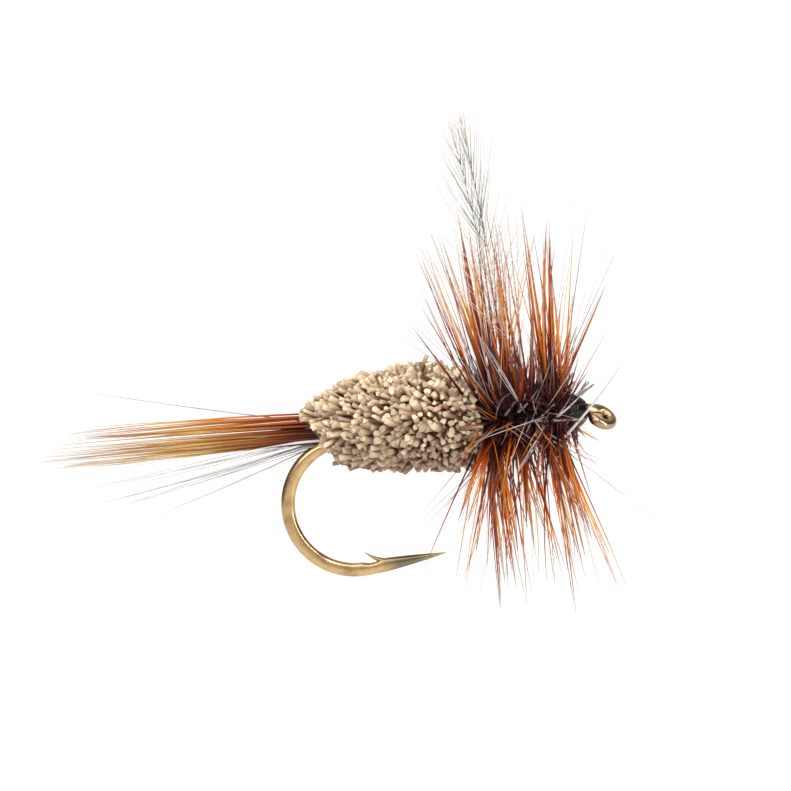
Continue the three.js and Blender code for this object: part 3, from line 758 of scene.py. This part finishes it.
clipping = clump_tree()
CLUMPS = 6
REAR_SLANT = 3.2 * MM  # the hairs spring from ahead of where they end, the rear clump's the furthest
for i in range(1, CLUMPS + 1):
    node = f"deer_hair_clump_{i}"
    binding_low, binding_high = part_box(f"clump_binding_{i}")
    binding_x = (binding_low.x + binding_high.x) / 2
    slant = REAR_SLANT * ((CLUMPS - i) / (CLUMPS - 1)) ** 1.4
    open_end = {1: -1.0, CLUMPS: 1.0}.get(i, 0.0)  # the first clump's rear and the last one's front
    clump = run_tree(
        clipping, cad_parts[node].data.copy(), f"clipped_hair_{i}",
        Axis_height=SHANK_Z, Binding_x=binding_x + slant, Open_end=open_end, Spacing=0.17 * MM,
        Hair_radius=0.1 * MM, Hair_length=1.15 * MM, Unevenness=0.15 * MM, Raggedness=0.2 * MM,
        Seed=20 + i, Hair=deer_hair, Core=packed_hair,
    )
    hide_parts(node)
    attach(clump, "root")
    turns_r = outer_radius(f"clump_binding_{i}")
    binding = wind(f"clump_binding_turns_{i}", tan_thread, (binding_low.x, binding_high.x),
                   (turns_r, turns_r), THREAD_R)
    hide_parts(f"clump_binding_{i}")
    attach(binding, "root")

# A few hairs missed the scissors: one stands up from the back, and three poke forward over the hackle.
# Each is given in millimetres by its root, its tip and its radius, and by how pale it is.
missed = [
    fibre(Vector(root) * MM, Vector(tip) * MM, radius * MM, paleness)
    for root, tip, radius, paleness in (
        ((-6.25, -0.2, 2.2), (-5.8, -0.2, 3.0), 0.085, 0.7),
        ((-5.0, -1.7, 0.45), (-4.0, -1.9, 0.46), 0.095, 0.55),
        ((-4.9, -1.6, 0.1), (-4.08, -1.85, 0.2), 0.09, 0.35),
        ((-5.0, -1.4, 1.0), (-4.2, -1.6, 1.15), 0.09, 0.7),
    )
]
untrimmed = grow("untrimmed_hairs", missed, deer_hair, Steps=6, Sides=8, Blunt=0.9, Taper=1.0)
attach(untrimmed, "root")

# ---------------------------------------------------------------- thorax
# Black thread covers the butts of the hair and of the wings. The hackles are wound over it, and their
# dense webby roots hide it.
thorax_r = outer_radius("thorax_thread")
thorax = wind("thorax_turns", black_thread, x_span("thorax_thread"), (thorax_r, thorax_r), THREAD_R)
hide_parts("thorax_thread")
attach(thorax, "root")

# ---------------------------------------------------------------- wings
# The tips of two barred neck feathers, set upright with their flat sides out. Each has a fine horn quill
# and soft whitish barbs that stand off it at a narrow angle.
quill_horn, tree, shader = shade("feather_quill", 0.3, specular=0.5)
bars = ramp(tree, put(tree, "ShaderNodeAttribute", attribute_name="along").outputs["Fac"],
            [(0.0, (0.2, 0.11, 0.06)), (0.5, (0.6, 0.5, 0.38)), (0.66, (0.1, 0.075, 0.03)),
             (0.84, (0.14, 0.12, 0.06)), (0.9, (0.45, 0.42, 0.36)), (1.0, (0.4, 0.38, 0.34))])
tree.links.new(bars.outputs[0], shader.inputs["Base Color"])
bump(tree, shader, blotches(tree, 12000), 0.003 * MM)

wing_barbs = feather(
    "wing_hackle",
    rich=[(0.0, (0.06, 0.055, 0.03)), (0.3, (0.13, 0.12, 0.075)), (0.45, (0.6, 0.57, 0.5)),
          (0.6, (0.34, 0.32, 0.28)), (0.75, (0.68, 0.65, 0.6)), (1.0, (0.66, 0.64, 0.6))],
    pale=[(0.0, (0.72, 0.58, 0.46)), (0.3, (0.84, 0.75, 0.66)), (1.0, (0.8, 0.76, 0.7))],
    deep=(0.12, 0.11, 0.08),
    clear=0.5,
)

QUILL_R = 0.036 * MM
POST_LENGTH = 0.2 * MM  # of the thread turns round each wing's foot
POST_LOWER_R, POST_UPPER_R = 0.12 * MM, 0.11 * MM
POST_THREAD_R = 0.022 * MM
BARBS_PER_EDGE = 36
# Shares of each quill's height: the bare foot's end, the last barb, and the span with dark bars.
STRIPPED, LAST_BARB = 0.22, 0.97
BARRED_FROM, BARRED_TO = 0.55, 0.86
for side, sign in (("left", 1), ("right", -1)):
    low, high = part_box(f"{side}_wing_quill")
    foot = Vector((high.x, low.y if sign > 0 else high.y, low.z))
    tip = Vector((low.x, high.y if sign > 0 else low.y, high.z))
    stem = tip - foot
    quill = grow(f"{side}_wing_stem", [fibre(foot, tip, QUILL_R, 1.0)], quill_horn,
                 Steps=24, Sides=8, Blunt=0.12, Taper=1.0)
    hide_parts(f"{side}_wing_quill")
    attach(quill, "root")

    flat_side = stem.cross(Vector((1, 0, 0))).normalized()
    edge = flat_side.cross(stem).normalized()
    barbs = []
    for k in range(BARBS_PER_EDGE):
        up = STRIPPED + (LAST_BARB - STRIPPED) * (k + rng.random()) / BARBS_PER_EDGE
        for way in (-1, 1):
            spread = math.radians(38 - 36 * up + rng.gauss(0, 3))
            heading = stem.normalized() * math.cos(spread) + edge * way * math.sin(spread)
            heading += flat_side * rng.gauss(0, 0.06)
            reach = (0.9 + 5.0 * (1 - up) ** 0.65 + rng.gauss(0, 0.4)) * MM
            reach = min(reach, stem.length * (1.02 - up) / math.cos(spread))
            root = foot + stem * up
            bow = (-edge * way * rng.uniform(0, 0.3) + flat_side * rng.gauss(0, 0.1)) * MM
            barred = BARRED_FROM < up < BARRED_TO and rng.random() < 0.8
            barbs.append(fibre(root, root + heading * reach, rng.uniform(0.007, 0.015) * MM,
                               0.0 if barred else rng.uniform(0.6, 1), bow))
    vane = grow(f"{side}_wing_barbs", barbs, wing_barbs, Steps=8, Sides=4, Blunt=0.15)
    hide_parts(f"{side}_wing_vane")
    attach(vane, "root")

    # A few turns of finer thread gather the wing's foot into a post.
    post_low, post_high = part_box(f"{side}_wing_post_wraps")
    middle = (post_low + post_high) / 2
    lie = Vector((1, 0, 0)).rotation_difference(stem).to_matrix().to_4x4()
    post = wind(
        f"{side}_wing_post_turns", black_thread, (-POST_LENGTH / 2, POST_LENGTH / 2),
        (POST_LOWER_R, POST_UPPER_R), POST_THREAD_R, place=Matrix.Translation(middle) @ lie,
    )
    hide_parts(f"{side}_wing_post_wraps")
    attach(post, "root")

# ---------------------------------------------------------------- hackle stems
# The bare stems of one brown and one barred feather, wound forward side by side over the thorax. The CAD
# gives their path, so only their horn finish is added.
stem_horn, tree, shader = shade("hackle_stem", 0.4, specular=0.4)
horn = ramp(tree, blotches(tree, 4000), [(0.35, (0.05, 0.015, 0.012)), (0.7, (0.14, 0.05, 0.03))])
tree.links.new(horn.outputs[0], shader.inputs["Base Color"])
bump(tree, shader, blotches(tree, 12000), 0.004 * MM)
for node in ("brown_hackle_stem", "grizzly_hackle_stem"):
    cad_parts[node].data.materials.clear()
    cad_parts[node].data.materials.append(stem_horn)

# ---------------------------------------------------------------- hackle barbs
# Each turn of a hackle throws its barbs out all round. They are webby and almost black at the stem, stiff
# and clear beyond it, and some cling together in locks.
ROOT_R = 0.6 * MM  # where the barbs leave their stem
WEB_ROOT_R = 0.45 * MM
WEB_BARBS = 300
LEAN_AT_REAR, LEAN_AT_FRONT = math.radians(-5), math.radians(5)
thorax_rear, thorax_front = x_span("thorax_thread")
wing_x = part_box("left_wing_quill")[1].x


def lean_at(x):
    """The barbs lean back at the rear of the hackle and forward at its front."""
    share = (x - thorax_rear) / (thorax_front - thorax_rear)
    return LEAN_AT_REAR + (LEAN_AT_FRONT - LEAN_AT_REAR) * share


def spray(rng, x, wander, count, reach, girth, lock_share, untidy):
    """The barbs of one turn: a lock's barbs start apart and meet towards their tips.

    wander is how far along the shank they stray from x, and untidy their stray lean in degrees.
    """
    barbs = []
    while len(barbs) < count:
        start = x + rng.gauss(0, wander)
        around = rng.uniform(0, math.tau)
        tilt = lean_at(start) + math.radians(rng.gauss(0, untidy))
        members = rng.choice((2, 3, 4)) if rng.random() < lock_share else 1
        length = reach * rng.uniform(0.76, 1.07) * (1.15 + 0.06 * math.cos(around))
        if rng.random() < 0.12:
            length *= 1.14
        tint = rng.choice((0.0, 0.1, 0.3, 0.75, 1.0))
        dark = rng.uniform(0.4, 0.9) if rng.random() < 0.1 else 0.0
        axis = Vector((math.tan(tilt), math.sin(around), math.cos(around))).normalized()
        shared_tip = Vector((start, 0, SHANK_Z)) + axis * (length + ROOT_R)
        for _ in range(members):
            turn = around + rng.gauss(0, 0.13)
            root = Vector((start + rng.gauss(0, 0.07) * MM, ROOT_R * math.sin(turn),
                           SHANK_Z + ROOT_R * math.cos(turn)))
            tip = root.lerp(shared_tip, rng.uniform(0.88, 1.0))
            stray = Vector((rng.gauss(0, 1), rng.gauss(0, 1), rng.gauss(0, 1)))
            curl = (tip - root).cross(stray).normalized() * rng.gauss(0, 0.42) * MM
            barbs.append(fibre(root, tip, girth * rng.uniform(0.65, 1.35),
                               min(1, max(0, tint + rng.gauss(0, 0.12))), curl, dark))
    return barbs


def web(rng, x, wander):
    """The soft dark roots of the barbs, a dense fringe that is longest above the shank."""
    barbs = []
    for _ in range(WEB_BARBS):
        start = x + rng.gauss(0, wander)
        around = rng.uniform(0, math.tau)
        tilt = lean_at(start) + math.radians(rng.gauss(0, 18))
        out = Vector((0, math.sin(around), math.cos(around)))
        root = Vector((start, 0, SHANK_Z)) + out * WEB_ROOT_R
        splay = Vector((math.tan(tilt), rng.gauss(0, 0.22), rng.gauss(0, 0.22)))
        reach = (0.5 + 1.0 * rng.random() ** 2) * MM
        if out.z > 0.4 and rng.random() < 0.3:
            reach = rng.uniform(1.1, 2.7) * MM
        heading = (out + splay).normalized()
        curl = heading.cross(Vector((rng.gauss(0, 1), 0, 1))).normalized() * rng.gauss(0, 0.14) * MM
        barbs.append(fibre(root, root + heading * reach, rng.uniform(0.04, 0.075) * MM, 0.0, curl,
                           rng.uniform(0.35, 1.0)))
    return barbs


rng = random.Random(5)
for feather_name, turns in (("brown", 5), ("grizzly", 4)):
    for i in range(1, turns + 1):
        node = f"{feather_name}_hackle_barbs_{i}"
        low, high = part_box(node)
        # A turn's barbs spring from the edge of its box that they lean away from. Those next to the wings
        # stray the most, and close up round them.
        x = high.x if high.x < wing_x else low.x
        wander = (0.36 if abs(x - wing_x) < 0.9 * MM else 0.2) * MM
        if feather_name == "brown":
            barbs = spray(rng, x, wander, count=88, reach=5.9 * MM, girth=0.04 * MM, lock_share=0.45,
                          untidy=6.5)
            barbs += web(rng, x, wander * 1.2)
            material = brown_barbs
        else:
            barbs = spray(rng, x, wander, count=18, reach=6.4 * MM, girth=0.018 * MM, lock_share=0.15,
                          untidy=11)
            material = grizzly_barbs
        whorl = grow(f"{feather_name}_barbs_{i}", barbs, material, Steps=9, Sides=4, Blunt=0.08, Taper=0.8)
        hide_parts(node)
        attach(whorl, "root")

# ---------------------------------------------------------------- head
# The thread is built up into a small cone that crowds the eye, finished with a whip knot, and coated with
# clear varnish.
HEAD_REAR_R, HEAD_FRONT_R = 0.62 * MM, 0.44 * MM
WHIP_REAR_R, WHIP_FRONT_R = 0.43 * MM, 0.2 * MM
HEAD_SWELL = 0.09 * MM
head_rear = x_span("head_thread")[0]
whip_rear, whip_front = x_span("whip_finish_wraps")
head = wind("head_turns", black_thread, (head_rear, whip_rear), (HEAD_REAR_R, HEAD_FRONT_R), THREAD_R,
            swell=HEAD_SWELL, steps_per_turn=32)
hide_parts("head_thread")
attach(head, "root")
whip = wind("whip_finish_turns", black_thread, (whip_rear, whip_front + 0.14 * MM),
            (WHIP_REAR_R, WHIP_FRONT_R), THREAD_R, steps_per_turn=32)
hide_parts("whip_finish_wraps")
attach(whip, "root")

varnish, tree, shader = shade("head_varnish", 0.09, specular=0.24)
film = ramp(tree, blotches(tree, 5000), [(0.4, (0.003, 0.002, 0.003)), (0.7, (0.014, 0.008, 0.01))])
tree.links.new(film.outputs[0], shader.inputs["Base Color"])
turn_ridges = put(tree, "ShaderNodeTexWave", {
    "Vector": put(tree, "ShaderNodeTexCoord").outputs["Object"], "Scale": 4200, "Distortion": 1.5,
})
bump(tree, shader, turn_ridges, 0.012 * MM, 0.5)

coat_rear, coat_front = x_span("head_cement")
coat_front += 0.05 * MM
COAT_REAR_R, COAT_MIDDLE_R, COAT_FRONT_R = 0.66 * MM, 0.8 * MM, 0.3 * MM
COAT_THICKNESS = 0.035 * MM
SIDES = 48
COAT_STEPS = 32
outline = []
for i in range(COAT_STEPS + 1):
    share = i / COAT_STEPS  # from the rear of the head to the eye
    radius = (COAT_REAR_R * (1 - share) ** 2 + COAT_MIDDLE_R * 2 * share * (1 - share)
              + COAT_FRONT_R * share**2)
    outline.append((coat_rear + (coat_front - coat_rear) * share, radius))
wall = outline + [(x, r - COAT_THICKNESS) for x, r in reversed(outline)]
points = [
    (x, r * math.cos(math.tau * k / SIDES), SHANK_Z + r * math.sin(math.tau * k / SIDES))
    for x, r in wall for k in range(SIDES)
]
faces = []
for i in range(len(wall)):
    for k in range(SIDES):
        j, n = (i + 1) % len(wall), (k + 1) % SIDES
        faces.append((i * SIDES + k, i * SIDES + n, j * SIDES + n, j * SIDES + k))
coat = new_piece("head_varnish_coat", points, faces, varnish)
coat.data.flip_normals()
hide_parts("head_cement")
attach(coat, "root")

# ---------------------------------------------------------------- trimmed butts and loose barbs
# The cut ends of the two hackle stems stand up from the head, and a few barbs that escaped the last
# turns lie across it.
for colour, width in (("brown", 0.045), ("grizzly", 0.055)):
    low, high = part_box(f"{colour}_stem_butt")
    root = Vector((low.x, (low.y + high.y) / 2, low.z))
    stub = grow(
        f"{colour}_stem_stub",
        [fibre(root, high, width * MM, 0.0, (0, 0, 0.06 * MM), dark=0.4)],
        grizzly_barbs, Steps=8, Sides=8, Blunt=0.7, Taper=1.0,
    )
    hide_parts(f"{colour}_stem_butt")
    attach(stub, "root")


def loose_barb(root, tip, width, bow=(0, 0, 0), dark=0.12):
    """A barb given in millimetres."""
    return fibre(Vector(root) * MM, Vector(tip) * MM, width * MM, 1.0, Vector(bow) * MM, dark)


strays = [
    loose_barb((-1.3, -0.85, -0.42), (1.03, -1.0, 1.9), 0.06, (-0.05, 0, 0.35), 0.2),
    loose_barb((-2.4, -1.05, 0.3), (-0.5, -0.75, 0.1), 0.05, (0, 0, 0.05)),
    loose_barb((-1.7, -0.95, 0.2), (-0.5, -0.7, 1.0), 0.05, (-0.1, 0, 0.15)),
    loose_barb((-2.1, -0.95, 0.35), (-0.95, -0.9, 1.25), 0.04, (-0.1, 0, 0.1)),
    loose_barb((-2.0, -0.9, -0.3), (-0.2, -1.1, -1.5), 0.035, (0.1, 0, 0.12), 0.5),
    loose_barb((-1.9, -0.85, -0.2), (-0.15, -1.0, -1.35), 0.03, (0.1, 0, 0.1), 0.3),
    loose_barb((-1.37, -0.6, -0.29), (-1.3, -0.7, -1.75), 0.018, (0.05, 0, 0), 0.8),
]
for _ in range(6):
    start = (rng.uniform(-3.4, -1.6), -1.0, rng.uniform(-0.3, 0.7))
    end = (start[0] + rng.uniform(0.3, 0.9), -1.15, start[2] + rng.uniform(0.6, 1.3))
    strays.append(loose_barb(start, end, rng.uniform(0.025, 0.045), (-0.1, 0, 0.1), rng.uniform(0.2, 0.7)))
for way, count in ((1, 10), (-1, 8)):  # wisps that trail back above and below the body
    for _ in range(count):
        share = rng.random()
        start = (-3.9, rng.uniform(-0.7, 0.3), 0.3 + 1.1 * way)
        rise = 3.3 + 2.2 * share + rng.gauss(0, 0.25)
        end = (-6.9 + 1.8 * share, start[1] + rng.gauss(0, 0.3), 0.3 + rise * way)
        bow = (0, 0, 0.15 * way)
        strays.append(loose_barb(start, end, rng.uniform(0.014, 0.024), bow, rng.uniform(0.1, 0.6)))
loose = grow("loose_barbs", strays, grizzly_barbs, Steps=14, Sides=6, Blunt=0.15)
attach(loose, "root")

# ---------------------------------------------------------------- studio
# A pale floor well below the fly, an even white surround, a broad light from the ceiling, two soft boxes
# and a small bright lamp that puts sparkles on the wire.
FLOOR_DROP = 45 * MM
bpy.ops.mesh.primitive_plane_add(size=6, location=(0, 0, cad_box[0][2] - FLOOR_DROP))
floor = bpy.context.object
floor.name = "floor"
pale, tree, shader = shade("pale_floor", 0.9, specular=0.1)
tone = ramp(tree, blotches(tree, 4), [(0.3, (0.93, 0.93, 0.92)), (0.7, (0.95, 0.95, 0.945))])
tree.links.new(tone.outputs[0], shader.inputs["Base Color"])
floor.data.materials.append(pale)

# The surround looks white, also through a clear barb. It gives the fly a dimmer light that falls off to
# both sides, as between two dark walls, which draws dark edges on the wire.
world = bpy.data.worlds.new("surround")
bpy.context.scene.world = world
world.use_nodes = True
surround = world.node_tree
paths = put(surround, "ShaderNodeLightPath").outputs
seen = math_node(surround, "MAXIMUM", paths["Is Camera Ray"], paths["Is Transmission Ray"])
direction = put(surround, "ShaderNodeTexCoord").outputs["Generated"]
across = put(surround, "ShaderNodeSeparateXYZ", {0: direction}).outputs["X"]
sideways = math_node(surround, "POWER", math_node(surround, "ABSOLUTE", across), 1.5)
room = math_node(surround, "MULTIPLY_ADD", sideways, -0.72, 0.8)
brightness = math_node(surround, "MAXIMUM", math_node(surround, "MULTIPLY", seen, 1.1), room)
surround.nodes["Background"].inputs["Color"].default_value = (1, 1, 1, 1)
surround.links.new(brightness, surround.nodes["Background"].inputs["Strength"])


def aimed(name, light, place):
    """Sets a light at a place, facing the middle of the fly."""
    lamp = bpy.data.objects.new(name, light)
    bpy.context.collection.objects.link(lamp)
    lamp.location = place
    lamp.rotation_euler = (AIM - Vector(place)).to_track_quat("-Z", "Y").to_euler()


def soft_box(name, place, width, height, radiance):
    """A rectangular area light."""
    light = bpy.data.lights.new(name, "AREA")
    light.shape = "RECTANGLE"
    light.size = width
    light.size_y = height
    light.energy = radiance * math.pi * width * height
    aimed(name, light, place)


ceiling = bpy.data.lights.new("ceiling", "SUN")
ceiling.energy = 2.0
ceiling.angle = math.radians(75)
aimed("ceiling", ceiling, (-0.03, -0.06, 0.2))
soft_box("front_left", (-0.1, -0.15, 0.07), 0.05, 0.05, 6.0)
soft_box("tall_right", (0.1, -0.08, 0.035), 0.016, 0.14, 14.0)
soft_box("sparkle", (0.03, -0.11, 0.1), 0.012, 0.012, 90.0)

bpy.context.scene.view_settings.view_transform = "Standard"
